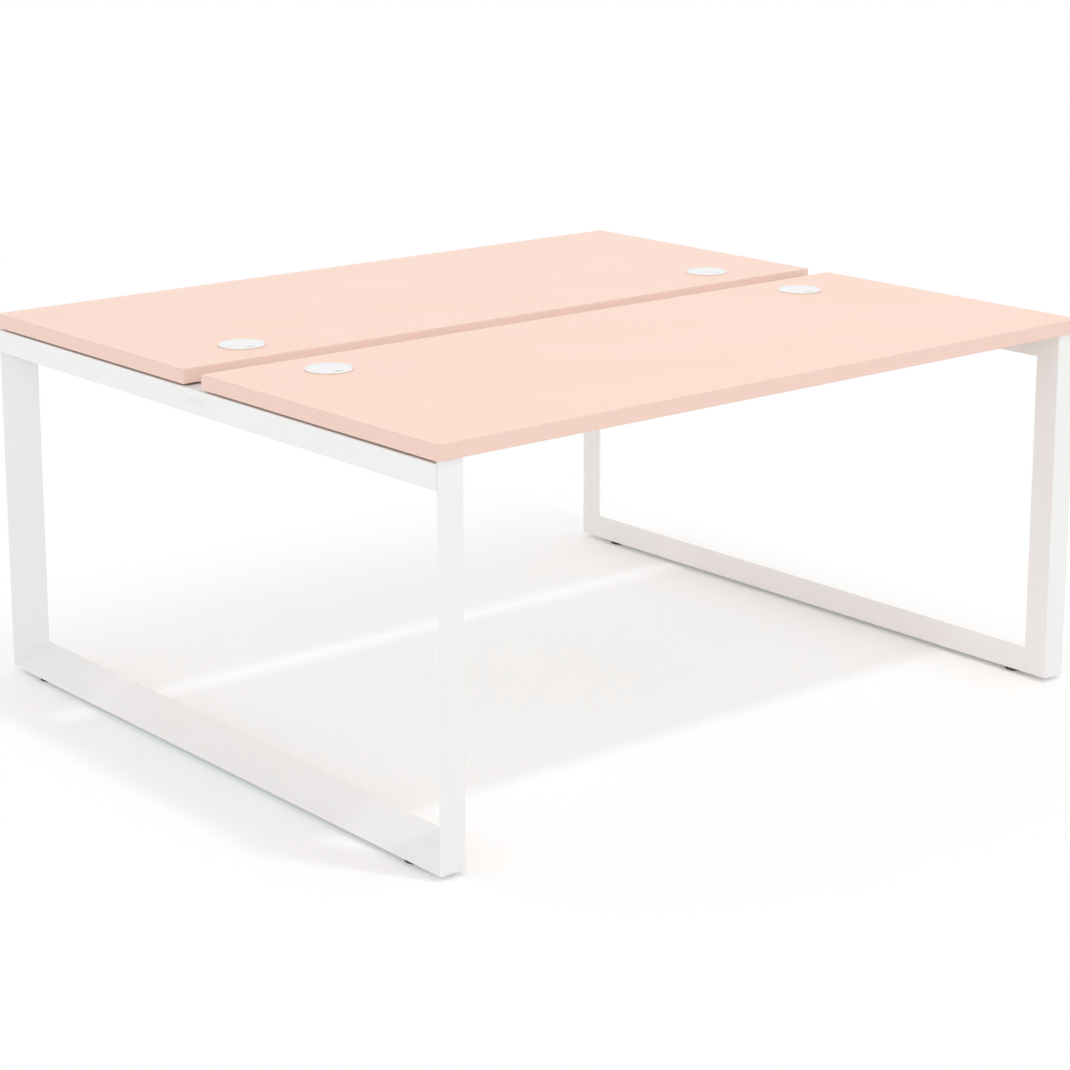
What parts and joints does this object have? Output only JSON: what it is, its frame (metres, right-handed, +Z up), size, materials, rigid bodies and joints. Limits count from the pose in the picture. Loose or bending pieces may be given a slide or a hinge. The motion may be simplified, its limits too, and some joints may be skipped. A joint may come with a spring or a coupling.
{
  "type": "benching desk",
  "caption": "Face-to-face benching desk: split worktops with cable grommets on closed hoops of triangular tube, tied by beams and standing on levelling feet.",
  "frame": {"origin": "on the floor under the middle of the desk", "axes": "+X along the worktops towards the right hoop, +Y from the front user's side to the back user's side, +Z up"},
  "size_m": [1.6, 1.42, 0.743],
  "materials": {
    "melamine": "matt peach melamine on particle board",
    "edge_band": "matt peach plastic edging",
    "frame_paint": "white satin powder coat",
    "grommet_plastic": "white semi-gloss moulding",
    "foot_plastic": "black matt moulding",
    "spacer_plastic": "black matt strip",
    "zinc": "zinc plated",
    "badge_plastic": "pale grey, blank"
  },
  "bodies": {
    "desk": {"front_top": "melamine", "back_top": "melamine", "front_top_edge_band": "edge_band", "back_top_edge_band": "edge_band", "front_left_grommet_liner": "grommet_plastic", "front_right_grommet_liner": "grommet_plastic", "back_left_grommet_liner": "grommet_plastic", "back_right_grommet_liner": "grommet_plastic", "left_hoop_top_rail": "frame_paint", "left_hoop_bottom_rail": "frame_paint", "left_hoop_front_leg": "frame_paint", "left_hoop_back_leg": "frame_paint", "right_hoop_top_rail": "frame_paint", "right_hoop_bottom_rail": "frame_paint", "right_hoop_front_leg": "frame_paint", "right_hoop_back_leg": "frame_paint", "front_beam": "frame_paint", "back_beam": "frame_paint", "front_beam_left_plate": "frame_paint", "front_beam_right_plate": "frame_paint", "back_beam_left_plate": "frame_paint", "back_beam_right_plate": "frame_paint", "front_beam_left_inner_bolt": "zinc", "front_beam_left_outer_bolt": "zinc", "front_beam_right_inner_bolt": "zinc", "front_beam_right_outer_bolt": "zinc", "back_beam_left_inner_bolt": "zinc", "back_beam_left_outer_bolt": "zinc", "back_beam_right_inner_bolt": "zinc", "back_beam_right_outer_bolt": "zinc", "front_top_left_spacer": "spacer_plastic", "front_top_right_spacer": "spacer_plastic", "back_top_left_spacer": "spacer_plastic", "back_top_right_spacer": "spacer_plastic", "front_top_left_inner_screw": "zinc", "front_top_left_outer_screw": "zinc", "front_top_right_inner_screw": "zinc", "front_top_right_outer_screw": "zinc", "back_top_left_inner_screw": "zinc", "back_top_left_outer_screw": "zinc", "back_top_right_inner_screw": "zinc", "back_top_right_outer_screw": "zinc", "front_left_foot_bush": "zinc", "front_right_foot_bush": "zinc", "back_left_foot_bush": "zinc", "back_right_foot_bush": "zinc", "badge_plate": "badge_plastic"},
    "front_left_lid": {"front_left_grommet_lid": "grommet_plastic"},
    "front_right_lid": {"front_right_grommet_lid": "grommet_plastic"},
    "back_left_lid": {"back_left_grommet_lid": "grommet_plastic"},
    "back_right_lid": {"back_right_grommet_lid": "grommet_plastic"},
    "front_left_foot": {"front_left_foot_base": "foot_plastic"},
    "front_right_foot": {"front_right_foot_base": "foot_plastic"},
    "back_left_foot": {"back_left_foot_base": "foot_plastic"},
    "back_right_foot": {"back_right_foot_base": "foot_plastic"},
    "front_left_spindle": {"front_left_foot_spindle": "zinc"},
    "front_right_spindle": {"front_right_foot_spindle": "zinc"},
    "back_left_spindle": {"back_left_foot_spindle": "zinc"},
    "back_right_spindle": {"back_right_foot_spindle": "zinc"}
  },
  "joints": [
    {"name": "front_left_lid_turn", "type": "hinge", "parent": "desk", "child": "front_left_lid", "pos_m": [-0.6, -0.139, 0.74], "axis": [0, 0, 1], "continuous": true},
    {"name": "front_right_lid_turn", "type": "hinge", "parent": "desk", "child": "front_right_lid", "pos_m": [0.6, -0.139, 0.74], "axis": [0, 0, 1], "continuous": true},
    {"name": "back_left_lid_turn", "type": "hinge", "parent": "desk", "child": "back_left_lid", "pos_m": [-0.6, 0.139, 0.74], "axis": [0, 0, 1], "continuous": true},
    {"name": "back_right_lid_turn", "type": "hinge", "parent": "desk", "child": "back_right_lid", "pos_m": [0.6, 0.139, 0.74], "axis": [0, 0, 1], "continuous": true},
    {"name": "front_left_foot_height", "type": "slide", "parent": "desk", "child": "front_left_foot", "axis": [0, 0, -1], "range_m": [0, 0.012]},
    {"name": "front_right_foot_height", "type": "slide", "parent": "desk", "child": "front_right_foot", "axis": [0, 0, -1], "range_m": [0, 0.012]},
    {"name": "back_left_foot_height", "type": "slide", "parent": "desk", "child": "back_left_foot", "axis": [0, 0, -1], "range_m": [0, 0.012]},
    {"name": "back_right_foot_height", "type": "slide", "parent": "desk", "child": "back_right_foot", "axis": [0, 0, -1], "range_m": [0, 0.012]},
    {"name": "front_left_spindle_turn", "type": "hinge", "parent": "front_left_foot", "child": "front_left_spindle", "pos_m": [-0.7715, -0.605, 0], "axis": [0, 0, -1], "range_deg": [0, 2880]},
    {"name": "front_right_spindle_turn", "type": "hinge", "parent": "front_right_foot", "child": "front_right_spindle", "pos_m": [0.7715, -0.605, 0], "axis": [0, 0, -1], "range_deg": [0, 2880]},
    {"name": "back_left_spindle_turn", "type": "hinge", "parent": "back_left_foot", "child": "back_left_spindle", "pos_m": [-0.7715, 0.605, 0], "axis": [0, 0, -1], "range_deg": [0, 2880]},
    {"name": "back_right_spindle_turn", "type": "hinge", "parent": "back_right_foot", "child": "back_right_spindle", "pos_m": [0.7715, 0.605, 0], "axis": [0, 0, -1], "range_deg": [0, 2880]}
  ],
  "couplings": [
    {"joint": "front_left_spindle_turn", "follows": "front_left_foot_height", "rad_per_m": 4188.8},
    {"joint": "front_right_spindle_turn", "follows": "front_right_foot_height", "rad_per_m": 4188.8},
    {"joint": "back_left_spindle_turn", "follows": "back_left_foot_height", "rad_per_m": 4188.8},
    {"joint": "back_right_spindle_turn", "follows": "back_right_foot_height", "rad_per_m": 4188.8}
  ]
}
